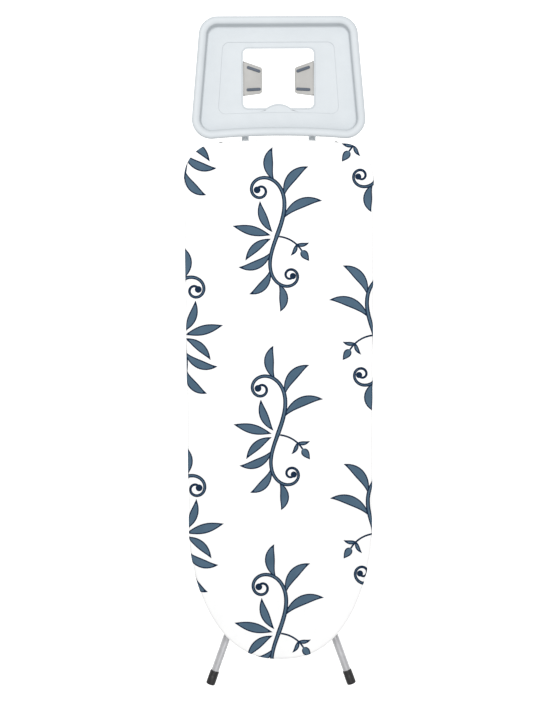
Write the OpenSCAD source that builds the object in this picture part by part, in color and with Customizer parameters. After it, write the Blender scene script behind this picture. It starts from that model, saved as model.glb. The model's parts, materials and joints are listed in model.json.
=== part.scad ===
// Folding ironing board on a scissor frame, lying folded on its four feet.
// The nose points along -Y, the iron rest along +Y, and the ironing surface faces +Z.
// The origin is on the floor, under the middle of the whole length.

/* [Board] */
// Length of the padded board over its cover
board_l = 1232; // [1200:4:1260]
// Width of the board at its tail
board_w = 450; // [440:2:470]
// Width of the board where the nose begins
nose_w = 434; // [424:2:440]
// Length of the tapering nose
nose_l = 308; // [296:2:320]
// Radius of the tail corners
tail_r = 83; // [75:1:90]
// How far the tail edge bows out in its middle
tail_bow = 7; // [2:1:10]
// Height of the steel rim
rim_h = 20; // [16:1:22]
// Thickness of the perforated steel top
mesh_t = 1.2; // [0.8:0.1:1.6]
// Thickness of the foam pad
pad_t = 6; // [4:0.5:10]
// Thickness of the cotton cover
cover_t = 1.3; // [1:0.1:2]

/* [Legs] */
// Outside diameter of the leg tubes
tube_d = 18; // [16:0.5:19]
// Wall of the leg tubes
tube_wall = 1.2; // [1:0.1:1.5]
// Distance of each outer leg from the middle
outer_x = 98; // [96:1:102]
// Distance of each inner leg from the middle
inner_x = 58; // [54:1:60]
// Distance of each outer foot from the middle
outer_foot_x = 170; // [160:1:180]
// Splay of the outer feet
outer_splay = 19.7; // [18:0.1:22]
// Distance of each inner foot from the middle
inner_foot_x = 145; // [135:1:155]
// Splay of the inner feet
inner_splay = 24.5; // [24:0.5:28]
// Diameter of the foot caps
foot_d = 22; // [21:0.5:24]
// Length of the foot caps
foot_l = 35; // [30:1:40]
// How far the outer feet stand past the nose
foot_out = 72; // [60:1:80]

/* [Scissor] */
// Distance of the leg hinge from the tail edge
hinge_back = 213; // [205:1:220]
// Distance of the slide axis from the nose tip when folded
slide_in = 142; // [138:1:146]
// Height of the hinge and slide axes above the leg tubes
axis_rise = 15; // [15:0.5:16]
// Diameter of the lever bar
bar_d = 8; // [7:0.5:8]

/* [Iron rest] */
// Length of the iron rest
tray_l = 290; // [270:2:300]
// Width of the iron rest at its far edge
tray_far_w = 378; // [360:2:390]
// Width of the iron rest at its near edge
tray_near_w = 412; // [396:2:420]
// Gap between the board and the iron rest
tray_gap = 2; // [2:1:8]
// Width of the window in the tray floor
window_w = 168; // [150:2:180]
// Length of the window in the tray floor
window_l = 141; // [130:1:150]

/* [Hidden] */
$fn = 48;
eps = 0.01;
fit = 0.05;                       // radial clearance of a running fit
gap = 0.3;                        // clearance between bodies that move

// Lengthwise layout
total_l = foot_out + board_l + tray_gap + tray_l;
y_min = -total_l / 2;
nose_y = y_min + foot_out;
tail_y = nose_y + board_l;
tray_near = tail_y + tray_gap;
tray_far = total_l / 2;
nose_base = nose_y + nose_l;      // where the nose begins
corner_y = tail_y - tail_bow - tail_r;
nose_pow = 1.8;                   // shape of the nose curve along the board
nose_flat = 2.4;                  // shape of the nose curve across the board

// Heights
tube_z = foot_d / 2;
axis_z = tube_z + axis_rise;
rim_z = 30;
rib_h = 8;
top_z = rim_z + rim_h;
rib_z = top_z - rib_h;
pad_z = top_z + mesh_t;
cover_z = pad_z + pad_t;
skirt_z = 28;

// Board frame
rim_in = 6;                       // rim outside face, in from the cover
rim_t = 2;
flange_w = 12;
flange_t = 1.5;
skirt_t = 3.5;
hem_w = 24;
pad_in = 4;
sheet = 1.5;                      // pressed steel of ribs, rails and brackets
rib_w = 30;
hinge_y = tail_y - hinge_back;
slide_y = nose_y + slide_in;
pivot_y = (hinge_y + slide_y) / 2;
rib_y = [nose_y + 98, nose_y + 351, nose_y + 536, nose_y + 776, hinge_y, tail_y - 81];

// Legs
stub = 8;                         // tube past the hinge axis
cap_floor = 5;
foot_edge = 2;                    // rounding of the cap's end
foot_end = y_min + (foot_d / 2 - foot_edge) * sin(outer_splay);
brace_d = 14;
brace_out = 62;                   // outer brace, past the bend of the outer legs
brace_low = 26;                   // lower inner brace, short of the bend of the inner legs
brace_top = 39;                   // upper inner brace, from the slide axis
ear_r = 6;
ear_w = 12.4;
pin_d = 6;

// Slide, rack and lever
rail_x = 76;
rail_t = 2;
rail_z = 19;
rail_flange = 13;
open_angle = 54;                  // leg fold at the highest setting
slide_open = hinge_y - 2 * (hinge_y - pivot_y) * cos(open_angle) + 2 * axis_rise * sin(open_angle);
shoe_l = 24;
slot_h = 10;
slot_ends = [slide_y - 14, slide_open + 14];
rail_ends = [nose_y + 86, slide_open + 28];
rack_t = 3;
rack_z = 34;
rack_w = 20;
notch_angles = [30, 36, 42, 48, 53];
notch_w = 8;
notch_h = 5;
tooth_y = 18;
handle_x = 128;
handle_l = 95;
handle_r = 20;
droop = 8;
grip_d = 18;

// Iron rest
bead_z = 62;
floor_z = 40.5;
floor_t = 2.5;
window_y = (tray_near + tray_far) / 2 + 1;
tab_w = 45.5;
arm_x = 80;
arm_d = 12;
arm_z = 21.6;
arm_ends = [tail_y - 96, tail_y + 56];
socket_d = 17;
socket_ends = [tail_y - 1, tail_y + 60];

// Rivets that hold rails, rack and brackets under the ribs
rivet_r = 2;
rail_rivet_x = rail_x + 7.5;
RIVETS = concat(
    [for (i = [0 : 2]) for (s = [-1, 1]) [s * rail_rivet_x, rib_y[i]]],
    [for (i = [0 : 2]) for (s = [-1, 1]) [s * 6, rib_y[i]]],
    [for (s = [-1, 1]) for (dx = [-12, 12]) for (dy = [-9.5, 9.5]) [s * outer_x + dx, hinge_y + dy]]
);

// Half width of the board at y, this far in from the cover's edge
function half_at(y, i) = y < nose_base
    ? (nose_w / 2 - i) * pow(1 - pow((nose_base - y) / (nose_l - i), nose_pow), 1 / nose_flat)
    : y < corner_y
    ? nose_w / 2 - i + (board_w - nose_w) / 2 * (y - nose_base) / (corner_y - nose_base)
    : board_w / 2 - tail_r + sqrt(pow(tail_r - i, 2) - pow(y - corner_y, 2));

// Right half of the board outline, from the nose tip to the middle of the tail
function half_outline(i) = concat(
    [for (q = [0 : 6 : 90]) [
        (nose_w / 2 - i) * pow(sin(q), 2 / nose_flat),
        nose_base - (nose_l - i) * pow(cos(q), 2 / nose_pow)
    ]],
    [for (q = [0 : 9 : 90]) [
        board_w / 2 - tail_r + (tail_r - i) * cos(q),
        corner_y + (tail_r - i) * sin(q)
    ]],
    [for (k = [0.75, 0.5, 0.25, 0]) [
        k * (board_w / 2 - tail_r),
        tail_y - i - tail_bow * k * k
    ]]
);

// Whole outline of the board, this far in from the cover's edge
module outline(i) {
    right = half_outline(i);
    n = len(right);
    polygon(concat(right, [for (k = [n - 2 : -1 : 1]) [-right[k][0], right[k][1]]]));
}

// Rounded trapezoid with an arched near edge, this far in from its outside
module tub(far_w, near_w, far_y, near_y, far_r, near_r, arch, i) {
    right = concat(
        [for (k = [0, 0.35, 0.7]) [k * (near_w / 2 - near_r), near_y + i + arch * (1 - k * k)]],
        [for (q = [-90 : 10 : 0]) [
            near_w / 2 - near_r + (near_r - i) * cos(q), near_y + near_r + (near_r - i) * sin(q)
        ]],
        [for (q = [0 : 10 : 90]) [
            far_w / 2 - far_r + (far_r - i) * cos(q), far_y - far_r + (far_r - i) * sin(q)
        ]]
    );
    n = len(right);
    polygon(concat(right, [for (k = [n - 1 : -1 : 1]) [-right[k][0], right[k][1]]]));
}

module tray_outline(i) {
    tub(tray_far_w, tray_near_w, tray_far, tray_near, 45, 47, 7, i);
}

// A slab of an outline between two heights
module slab(z0, z1) {
    translate([0, 0, z0])
        linear_extrude(z1 - z0)
            children();
}

// Right side as drawn, or its mirror image on the left
module side(s) {
    mirror([s < 0 ? 1 : 0, 0, 0])
        children();
}

// A rod along X, centred on x
module x_rod(x, y, z, d, l) {
    translate([x - l / 2, y, z])
        rotate([0, 90, 0])
            cylinder(d = d, h = l);
}

module rounded_rect(w, l, r) {
    hull()
        for (sx = [-1, 1])
            for (sy = [-1, 1])
                translate([sx * (w / 2 - r), sy * (l / 2 - r)])
                    circle(r);
}

// ---------------------------------------------------------------- board top

module cover() {
    color("white") {
        slab(cover_z, cover_z + cover_t)
            outline(0);
        slab(skirt_z, cover_z)
            difference() {
                outline(0);
                outline(skirt_t);
            }
        slab(skirt_z, skirt_z + flange_t)
            difference() {
                outline(skirt_t - eps);
                outline(hem_w);
            }
    }
}

module foam_pad() {
    color("whitesmoke")
        slab(pad_z, cover_z)
            outline(pad_in);
}

module mesh_top() {
    hole_r = 10;
    step_x = 44;
    step_y = 56;
    color("gainsboro")
        difference() {
            slab(top_z, pad_z)
                outline(rim_in);
            for (y = [nose_y + 60 : step_y : tail_y - 40])
                for (x = [0 : step_x : board_w / 2])
                    if (x < half_at(min(y, corner_y), 40) - max(0, y - corner_y))
                        for (s = x == 0 ? [1] : [-1, 1])
                            translate([s * x, y, top_z - 1])
                                cylinder(r = hole_r, h = mesh_t + 2);
        }
}

// Pressed rim: an upright web with a flange turned in at the bottom
module rim_ring() {
    slab(rim_z, top_z)
        difference() {
            outline(rim_in);
            outline(rim_in + rim_t);
        }
    slab(rim_z, rim_z + flange_t)
        difference() {
            outline(rim_in + rim_t - eps);
            outline(rim_in + flange_w);
        }
}

module rim_part(x0, x1, y0, y1) {
    color("gainsboro")
        intersection() {
            rim_ring();
            translate([x0, y0, rim_z - 1])
                cube([x1 - x0, y1 - y0, rim_h + 2]);
        }
}

module rim_nose() {
    rim_part(-board_w, board_w, nose_y, nose_base);
}

module rim_side(s) {
    side(s)
        rim_part(1, board_w, nose_base, corner_y);
}

module rim_tail() {
    rim_part(-board_w, board_w, corner_y, tail_y);
}

module rivet_holes() {
    for (p = RIVETS)
        translate([p[0], p[1], rib_z - 3])
            cylinder(r = rivet_r, h = 6);
}

// Trough-shaped rib, open at the top where the steel top closes it
module cross_rib(k) {
    y = rib_y[k];
    half = min(half_at(y - rib_w / 2, rim_in + rim_t), half_at(y + rib_w / 2, rim_in + rim_t));
    l = 2 * (half - gap);
    color("gainsboro")
        difference() {
            translate([-l / 2, y - rib_w / 2, rib_z])
                cube([l, rib_w, rib_h]);
            translate([-l / 2 - 1, y - rib_w / 2 + sheet, rib_z + sheet])
                cube([l + 2, rib_w - 2 * sheet, rib_h]);
            rivet_holes();
        }
}

module frame_rivets() {
    head_r = 3.4;
    color("silver")
        for (p = RIVETS)
            translate([p[0], p[1], rib_z])
                rotate_extrude()
                    polygon([
                        [0, -3], [1.8, -2.8], [head_r, -1.9], [head_r, -sheet], [rivet_r, -sheet],
                        [rivet_r, sheet], [head_r, sheet], [head_r, 2.2], [1.8, 2.8], [0, 2.9]
                    ]);
}

// ------------------------------------------------------- under the board top

// Slotted rail that the slide shoe runs in, one on each side
module guide_rail(s) {
    l = rail_ends[1] - rail_ends[0];
    color("silver")
        side(s)
            difference() {
                translate([rail_x - rail_t / 2, rail_ends[0], rail_z])
                    union() {
                        cube([rail_t, l, rib_z - rail_z]);
                        translate([0, 0, rib_z - rail_z - sheet])
                            cube([rail_flange, l, sheet]);
                    }
                for (y = slot_ends)
                    x_rod(rail_x, y, axis_z, slot_h, 3 * rail_t);
                translate([rail_x - rail_t, slot_ends[0], axis_z - slot_h / 2])
                    cube([2 * rail_t, slot_ends[1] - slot_ends[0], slot_h]);
                rivet_holes();
            }
}

// Where the hook's tooth stands when the legs are open by a
function tooth_at(a) = hinge_y - 2 * (hinge_y - pivot_y) * cos(a) + 2 * axis_rise * sin(a) - tooth_y;

// Notched strip that the lever's hook catches at each working height
module height_rack() {
    l = rail_ends[1] - rail_ends[0];
    color("silver")
        difference() {
            translate([0, rail_ends[0], rack_z])
                union() {
                    translate([-rack_t / 2, 0, 0])
                        cube([rack_t, l, rib_z - rack_z]);
                    translate([-rack_w / 2, 0, rib_z - rack_z - sheet])
                        cube([rack_w, l, sheet]);
                }
            for (a = notch_angles)
                translate([-rack_t, tooth_at(a) - notch_w / 2, rack_z - 1])
                    cube([2 * rack_t, notch_w, notch_h + 1]);
            rivet_holes();
        }
}

module hinge_bracket(s) {
    cheek_r = 8;
    cheek_t = 2;
    cheek_x = ear_w / 2 + gap + cheek_t / 2;
    base = [32, 36, sheet];
    color("silver")
        side(s)
            difference() {
                union() {
                    translate([outer_x - base[0] / 2, hinge_y - base[1] / 2, rib_z - sheet])
                        cube(base);
                    for (dx = [-cheek_x, cheek_x]) {
                        x_rod(outer_x + dx, hinge_y, axis_z, 2 * cheek_r, cheek_t);
                        translate([outer_x + dx - cheek_t / 2, hinge_y - cheek_r, axis_z])
                            cube([cheek_t, 2 * cheek_r, rib_z - sheet - axis_z + eps]);
                    }
                }
                x_rod(outer_x, hinge_y, axis_z, pin_d, 40);
                rivet_holes();
            }
}

module hinge_pin(s) {
    l = ear_w + 2 * gap + 4;
    color("dimgray")
        side(s) {
            x_rod(outer_x, hinge_y, axis_z, pin_d, l + 2);
            x_rod(outer_x + l / 2 + 1, hinge_y, axis_z, pin_d + 4, 2);
            x_rod(outer_x - l / 2 - 0.75, hinge_y, axis_z, pin_d + 3, 1.5);
        }
}

// Saddle that a folded outer leg sits in
module leg_clip(s) {
    wall = 2.5;
    inner = tube_d + 2 * gap;
    len_y = 14;
    y = rib_y[0];
    x = outer_x + tan(outer_splay) * (bend_y(outer_x, outer_foot_x, outer_splay) - y);
    color("whitesmoke")
        side(s)
            translate([x, y, 0])
                rotate([0, 0, outer_splay])
                    difference() {
                        translate([-inner / 2 - wall, -len_y / 2, tube_z - 2])
                            cube([inner + 2 * wall, len_y, rib_z - tube_z + 2]);
                        translate([0, len_y, tube_z])
                            rotate([90, 0, 0])
                                cylinder(d = inner, h = 2 * len_y);
                        translate([-inner / 2, -len_y, 0])
                            cube([inner, 2 * len_y, tube_z]);
                    }
}

// ----------------------------------------------------------------- iron rest

module iron_tray() {
    color("aliceblue")
        difference() {
            union() {
                hull() {
                    slab(bead_z - 12, bead_z - 4)
                        tray_outline(0);
                    slab(bead_z - 1, bead_z)
                        tray_outline(5);
                }
                hull() {
                    slab(bead_z - 10, bead_z - 6)
                        tray_outline(13);
                    slab(floor_z - floor_t, floor_z)
                        tray_outline(20);
                }
                for (s = [-1, 1])
                    side(s) {
                        translate([arm_x, socket_ends[0], arm_z])
                            rotate([-90, 0, 0])
                                cylinder(d = socket_d, h = socket_ends[1] - socket_ends[0]);
                        translate([arm_x - 4, tray_near + 24, arm_z])
                            cube([8, socket_ends[1] - tray_near - 24, floor_z - floor_t - arm_z + 1]);
                    }
            }
            hull() {
                slab(bead_z + 1, bead_z + 2)
                    tray_outline(19);
                slab(floor_z, floor_z + 1)
                    tray_outline(23);
            }
            slab(floor_z - 1, floor_z + 1)
                tub(267, 286, tray_far - 58, tray_near + 61, 17, 17, 3, 0);
            difference() {
                translate([0, window_y, 0])
                    slab(floor_z - 8, floor_z + 2)
                        rounded_rect(window_w, window_l, 24);
                translate([0, window_y - window_l / 2 - 34, floor_z - 9])
                    cylinder(r = 44, h = 12);
            }
            for (s = [-1, 1])
                side(s)
                    translate([arm_x, tray_near - 20, arm_z])
                        rotate([-90, 0, 0])
                            cylinder(d = arm_d, h = arm_ends[1] - tray_near + 20);
        }
}

// Heat-proof tab that reaches into the window from its side
module rest_tab(s) {
    color("lightgray")
        side(s)
            slab(floor_z - 3.5, floor_z + 1)
                hull() {
                    translate([window_w / 2 - 1, window_y - 42])
                        square([1, 83]);
                    translate([window_w / 2 - tab_w + 8, window_y - 28])
                        circle(8);
                    translate([window_w / 2 - tab_w + 8, window_y + 17])
                        circle(8);
                }
}

module grip_strips() {
    color("darkslategray")
        for (s = [-1, 1])
            side(s) {
                translate([59, window_y + 21, floor_z + 1])
                    rotate([0, 0, 19])
                        translate([-17, -3.5, 0])
                            cube([34, 7, 1.6]);
                translate([59, window_y - 27, floor_z + 1])
                    rotate([0, 0, -3])
                        translate([-17, -3.5, 0])
                            cube([34, 7, 1.6]);
            }
}

module rest_arm(s) {
    color("silver")
        side(s)
            translate([arm_x, arm_ends[0], arm_z])
                rotate([-90, 0, 0])
                    difference() {
                        cylinder(d = arm_d, h = arm_ends[1] - arm_ends[0]);
                        translate([0, 0, -1])
                            cylinder(d = arm_d - 2, h = arm_ends[1] - arm_ends[0] + 2);
                    }
}

// Strap clamp that hangs the arm under the last rib
module arm_clamp(s) {
    l = 18;
    y = rib_y[5];
    color("silver")
        side(s)
            difference() {
                union() {
                    translate([arm_x, y - l / 2, arm_z])
                        rotate([-90, 0, 0])
                            cylinder(d = arm_d + 5, h = l);
                    translate([arm_x - 4, y - l / 2, arm_z])
                        cube([8, l, rib_z - arm_z]);
                    translate([arm_x - 15, y - l / 2, rib_z - 3])
                        cube([30, l, 3]);
                }
                translate([arm_x, y - l, arm_z])
                    rotate([-90, 0, 0])
                        cylinder(d = arm_d, h = 2 * l);
                for (dx = [-10, 10])
                    translate([arm_x + dx, y, rib_z - 4])
                        cylinder(d = 4, h = 5);
            }
}

module clamp_screws() {
    color("dimgray")
        for (s = [-1, 1])
            for (dx = [-10, 10])
                translate([s * arm_x + dx, rib_y[5], rib_z - 6])
                    union() {
                        cylinder(d = 7, h = 3, $fn = 6);
                        cylinder(d = 4, h = 6);
                    }
}

module tray_screws() {
    color("dimgray")
        for (s = [-1, 1])
            translate([s * arm_x, tray_near + 34, arm_z - socket_d / 2])
                rotate_extrude()
                    polygon([[0, -2.4], [2.2, -2.2], [3.6, -1.2], [3.6, 0], [0, 0]]);
}

// ---------------------------------------------------------------------- legs

// Where the legs of one frame bend outwards
function bend_y(x, foot_x, splay) = foot_end + (foot_x - x) / tan(splay);

// Leg tube whose foot lies towards -Y, its two runs meeting on the plane that halves the bend
module leg_path(x, foot_x, splay) {
    by = bend_y(x, foot_x, splay);
    upper = hinge_y + stub - by;
    lower = (foot_x - x) / sin(splay) - cap_floor;
    spare = tube_d;
    module run(from, to) {
        translate([0, from, 0])
            rotate([90, 0, 0])
                linear_extrude(from - to)
                    difference() {
                        circle(d = tube_d);
                        circle(d = tube_d - 2 * tube_wall);
                    }
    }
    module beyond(y0) {
        rotate([0, 0, splay / 2])
            translate([-spare, y0, -spare])
                cube([2 * spare, 2 * spare, 2 * spare]);
    }
    translate([x, by, tube_z]) {
        difference() {
            run(upper, -spare / 2);
            beyond(-2 * spare);
        }
        difference() {
            rotate([0, 0, splay])
                run(spare / 2, -lower);
            beyond(0);
        }
    }
}

// The inner frame is drawn like the outer one and turned end for end about the pivot
module about_pivot() {
    translate([0, 2 * pivot_y, 0])
        mirror([0, 1, 0])
            children();
}

module leg_tube(s, x, foot_x, splay) {
    color("silver")
        side(s)
            difference() {
                leg_path(x, foot_x, splay);
                x_rod(x, pivot_y, tube_z, pin_d + 2 * fit, 2 * tube_d);
            }
}

// Cross tube between the two legs of a frame, with saddle-cut ends
module leg_brace(x, foot_x, splay, y) {
    by = bend_y(x, foot_x, splay);
    turn = y < by ? splay : 0;
    color("silver")
        difference() {
            x_rod(0, y, tube_z, brace_d, 2 * (x + tan(turn) * (by - y)));
            for (s = [-1, 1])
                side(s)
                    translate([x, by, tube_z])
                        rotate([90, 0, turn])
                            cylinder(d = tube_d, h = 2 * total_l, center = true);
        }
}

// Barrel and web welded on top of the leg tube
module leg_ear(s, x, bore) {
    color("silver")
        side(s)
            difference() {
                union() {
                    x_rod(x, hinge_y, axis_z, 2 * ear_r, ear_w);
                    translate([x - 1.5, hinge_y - 12, tube_z])
                        cube([3, 20, axis_rise - 2]);
                }
                x_rod(x, hinge_y, axis_z, bore, 2 * ear_w);
                translate([x, hinge_y + 20, tube_z])
                    rotate([90, 0, 0])
                        cylinder(d = tube_d, h = 50);
            }
}

module foot_cap(s, foot_x, splay) {
    r = foot_d / 2;
    color("#2b2b2d")
        side(s)
            translate([foot_x, foot_end, tube_z])
                rotate([-90, 0, splay])
                    rotate_extrude()
                        polygon([
                            [0, 0], [r - foot_edge, 0], [r - 0.8, 0.6], [r, 2.4], [r, foot_l - 8],
                            [r - 0.4, foot_l - 3], [r - 1, foot_l], [tube_d / 2, foot_l],
                            [tube_d / 2, cap_floor], [0, cap_floor]
                        ]);
}

// Plastic plug in the open top end of a leg tube
module leg_plug(s, x) {
    color("#2b2b2d")
        side(s)
            translate([x, hinge_y + stub, tube_z])
                rotate([-90, 0, 0])
                    union() {
                        cylinder(d = tube_d - 1, h = 2);
                        translate([0, 0, -10])
                            cylinder(d = tube_d - 2 * tube_wall, h = 11);
                    }
}

module outer_plugs() {
    for (s = [-1, 1])
        leg_plug(s, outer_x);
}

module inner_plugs() {
    for (s = [-1, 1])
        leg_plug(s, inner_x);
}

module pivot_bolts() {
    color("dimgray")
        for (s = [-1, 1])
            side(s) {
                translate([inner_x - tube_d / 2 - 6, pivot_y, tube_z])
                    rotate([0, 90, 0])
                        cylinder(d = pin_d, h = outer_x - inner_x + tube_d + 6);
                translate([outer_x + tube_d / 2, pivot_y, tube_z])
                    rotate([0, 90, 0])
                        cylinder(d = 13, h = 3.5);
            }
}

module pivot_nuts() {
    color("dimgray")
        for (s = [-1, 1])
            side(s)
                translate([inner_x - tube_d / 2 - gap - 5, pivot_y, tube_z])
                    rotate([0, 90, 0])
                        difference() {
                            cylinder(d = 11.5, h = 5, $fn = 6);
                            translate([0, 0, -1])
                                cylinder(d = pin_d, h = 7);
                        }
}

module pivot_spacers() {
    x0 = inner_x + tube_d / 2;
    color("whitesmoke")
        for (s = [-1, 1])
            side(s)
                translate([x0, pivot_y, tube_z])
                    rotate([0, 90, 0])
                        difference() {
                            cylinder(d = 12, h = outer_x - tube_d / 2 - gap - x0);
                            translate([0, 0, -1])
                                cylinder(d = pin_d + 2 * fit, h = 40);
                        }
}

// ------------------------------------------------------------ slide and lever

module slide_shoe(s) {
    core_w = rail_t + 2 * gap + 0.2;
    core_h = slot_h - 2 * gap;
    color("whitesmoke")
        side(s)
            difference() {
                union() {
                    translate([rail_x - core_w / 2, slide_y - shoe_l / 2, axis_z - core_h / 2])
                        cube([core_w, shoe_l, core_h]);
                    for (dx = [-core_w / 2 - 2.2, core_w / 2])
                        translate([rail_x + dx, slide_y - shoe_l / 2, axis_z - 6.5])
                            cube([2.2, shoe_l, 13]);
                }
                x_rod(rail_x, slide_y, axis_z, bar_d + 2 * fit, 30);
            }
}

// Torsion spring that presses the hook against the rack
module lever_spring() {
    wire = 1.8;
    turns = 8;
    coil_r = bar_d / 2 + gap + wire / 2 + 0.3;
    x0 = 8;
    color("silver") {
        translate([x0, slide_y, axis_z])
            rotate([0, 90, 0])
                rotate_extrude()
                    for (k = [0 : turns])
                        translate([coil_r, wire * 0.9 * k])
                            circle(d = wire, $fn = 16);
        for (x = [x0, x0 + wire * 0.9 * turns])
            translate([x, slide_y, axis_z - coil_r])
                rotate([-90, 0, 0])
                    cylinder(d = wire, h = 22);
    }
}

module lever_bar() {
    color("silver") {
        translate([-rail_x - 10, slide_y, axis_z])
            rotate([0, 90, 0])
                cylinder(d = bar_d, h = handle_x - handle_r + rail_x + 10);
        translate([-rail_x - 12, slide_y, axis_z])
            rotate([0, 90, 0])
                cylinder(d = bar_d + 4, h = 2.5);
        translate([0, slide_y, axis_z])
            rotate([-droop, 0, 0]) {
                translate([handle_x - handle_r, handle_r, 0])
                    rotate([0, 0, -90])
                        rotate_extrude(angle = 90, $fn = 96)
                            translate([handle_r, 0])
                                circle(d = bar_d);
                translate([handle_x, handle_r, 0])
                    rotate([-90, 0, 0])
                        cylinder(d = bar_d, h = handle_l - handle_r - 4);
            }
    }
}

module lever_grip() {
    y0 = handle_r + 6;
    color("#2b2b2d")
        translate([0, slide_y, axis_z])
            rotate([-droop, 0, 0])
                translate([handle_x, y0, 0])
                    rotate([-90, 0, 0])
                        rotate_extrude()
                            polygon([
                                [bar_d / 2, 0], [6.5, 0], [7.6, 3], [grip_d / 2, 12],
                                [grip_d / 2 - 0.8, 38], [grip_d / 2, 60], [7.4, 68], [4, 71], [0, 71.5],
                                [0, handle_l - 4 - y0], [bar_d / 2, handle_l - 4 - y0]
                            ]);
}

// Blade on the bar, with the tooth that rides under the rack
module lever_hook() {
    blade = 4;
    tip = rack_z - gap - axis_z;
    color("silver")
        translate([-blade / 2, slide_y, axis_z])
            difference() {
                union() {
                    rotate([0, 90, 0])
                        cylinder(r = 6.5, h = blade);
                    rotate([90, 0, 90])
                        linear_extrude(blade)
                            polygon([
                                [0, -6], [-tooth_y - 4, -1], [-tooth_y - 3, tip], [-tooth_y + 2, tip],
                                [-tooth_y + 4, 3], [0, 5]
                            ]);
                }
                translate([-1, 0, 0])
                    rotate([0, 90, 0])
                        cylinder(d = bar_d, h = blade + 2);
            }
}

cover();
foam_pad();
mesh_top();
rim_nose();
rim_side(-1);  // rim_side_left
rim_side(1);  // rim_side_right
rim_tail();
cross_rib(0);  // cross_rib_1
cross_rib(1);  // cross_rib_2
cross_rib(2);  // cross_rib_3
cross_rib(3);  // cross_rib_4
cross_rib(4);  // cross_rib_5
cross_rib(5);  // cross_rib_6
guide_rail(-1);  // guide_rail_left
guide_rail(1);  // guide_rail_right
height_rack();
frame_rivets();
hinge_bracket(-1);  // hinge_bracket_left
hinge_bracket(1);  // hinge_bracket_right
hinge_pin(-1);  // hinge_pin_left
hinge_pin(1);  // hinge_pin_right
leg_clip(-1);  // leg_clip_left
leg_clip(1);  // leg_clip_right
iron_tray();
rest_tab(-1);  // rest_tab_left
rest_tab(1);  // rest_tab_right
grip_strips();
rest_arm(-1);  // rest_arm_left
rest_arm(1);  // rest_arm_right
arm_clamp(-1);  // arm_clamp_left
arm_clamp(1);  // arm_clamp_right
clamp_screws();
tray_screws();
leg_tube(-1, outer_x, outer_foot_x, outer_splay);  // outer_tube_left
leg_tube(1, outer_x, outer_foot_x, outer_splay);  // outer_tube_right
leg_brace(outer_x, outer_foot_x, outer_splay, bend_y(outer_x, outer_foot_x, outer_splay) - brace_out);  // outer_brace
leg_ear(-1, outer_x, pin_d + 2 * fit);  // outer_ear_left
leg_ear(1, outer_x, pin_d + 2 * fit);  // outer_ear_right
foot_cap(-1, outer_foot_x, outer_splay);  // outer_foot_left
foot_cap(1, outer_foot_x, outer_splay);  // outer_foot_right
pivot_bolts();
pivot_nuts();
outer_plugs();
about_pivot() leg_tube(-1, inner_x, inner_foot_x, inner_splay);  // inner_tube_left
about_pivot() leg_tube(1, inner_x, inner_foot_x, inner_splay);  // inner_tube_right
about_pivot() leg_brace(inner_x, inner_foot_x, inner_splay, hinge_y - brace_top);  // inner_brace_top
about_pivot()  // inner_brace_bottom
        leg_brace(inner_x, inner_foot_x, inner_splay, bend_y(inner_x, inner_foot_x, inner_splay) + brace_low);
about_pivot() leg_ear(-1, inner_x, bar_d + 2 * fit);  // inner_ear_left
about_pivot() leg_ear(1, inner_x, bar_d + 2 * fit);  // inner_ear_right
about_pivot() foot_cap(-1, inner_foot_x, inner_splay);  // inner_foot_left
about_pivot() foot_cap(1, inner_foot_x, inner_splay);  // inner_foot_right
pivot_spacers();
about_pivot() inner_plugs();
slide_shoe(-1);  // slide_shoe_left
slide_shoe(1);  // slide_shoe_right
lever_spring();
lever_bar();
lever_hook();
lever_grip();
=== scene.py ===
import json
import math

import bmesh
import bpy
import numpy as np
from mathutils import Matrix, Vector, noise
from mathutils.geometry import delaunay_2d_cdt


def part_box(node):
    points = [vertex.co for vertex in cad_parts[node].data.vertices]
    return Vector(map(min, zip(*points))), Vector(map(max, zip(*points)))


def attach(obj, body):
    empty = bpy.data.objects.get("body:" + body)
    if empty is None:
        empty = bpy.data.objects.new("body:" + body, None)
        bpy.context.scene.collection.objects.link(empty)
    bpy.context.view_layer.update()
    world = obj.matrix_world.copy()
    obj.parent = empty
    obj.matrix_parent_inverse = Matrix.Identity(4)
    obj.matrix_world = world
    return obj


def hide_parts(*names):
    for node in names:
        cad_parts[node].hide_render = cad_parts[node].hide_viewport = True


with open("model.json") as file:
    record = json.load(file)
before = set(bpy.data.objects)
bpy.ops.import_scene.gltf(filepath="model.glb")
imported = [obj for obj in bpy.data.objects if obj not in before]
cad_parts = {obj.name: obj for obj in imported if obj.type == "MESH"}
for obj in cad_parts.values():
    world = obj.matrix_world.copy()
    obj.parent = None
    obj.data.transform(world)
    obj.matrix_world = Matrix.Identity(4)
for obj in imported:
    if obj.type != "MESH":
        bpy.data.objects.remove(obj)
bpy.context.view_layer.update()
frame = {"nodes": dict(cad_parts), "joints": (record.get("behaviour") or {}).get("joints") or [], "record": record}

MM = 0.001
RECORD = frame["record"]
JOINT = {j["name"]: j for j in frame["joints"]}


# ------------------------------------------------------------------ materials

def new_material(name):
    mat = bpy.data.materials.new(name)
    mat.use_nodes = True
    tree = mat.node_tree
    shader = tree.nodes["Principled BSDF"]
    return mat, tree, shader


def add(tree, kind, **values):
    node = tree.nodes.new(kind)
    for key, value in values.items():
        if hasattr(node, key):
            setattr(node, key, value)
        else:
            node.inputs[key.replace("_", " ")].default_value = value
    return node


def noise_at(tree, scale, detail=3.0, stretch=(1, 1, 1)):
    """Noise over the object's own coordinates; scale is in cycles per metre."""
    where = add(tree, "ShaderNodeTexCoord")
    mapping = add(tree, "ShaderNodeMapping")
    mapping.inputs["Scale"].default_value = stretch
    tex = add(tree, "ShaderNodeTexNoise", Scale=scale, Detail=detail)
    tree.links.new(where.outputs["Object"], mapping.inputs["Vector"])
    tree.links.new(mapping.outputs["Vector"], tex.inputs["Vector"])
    return tex.outputs["Fac"]


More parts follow.
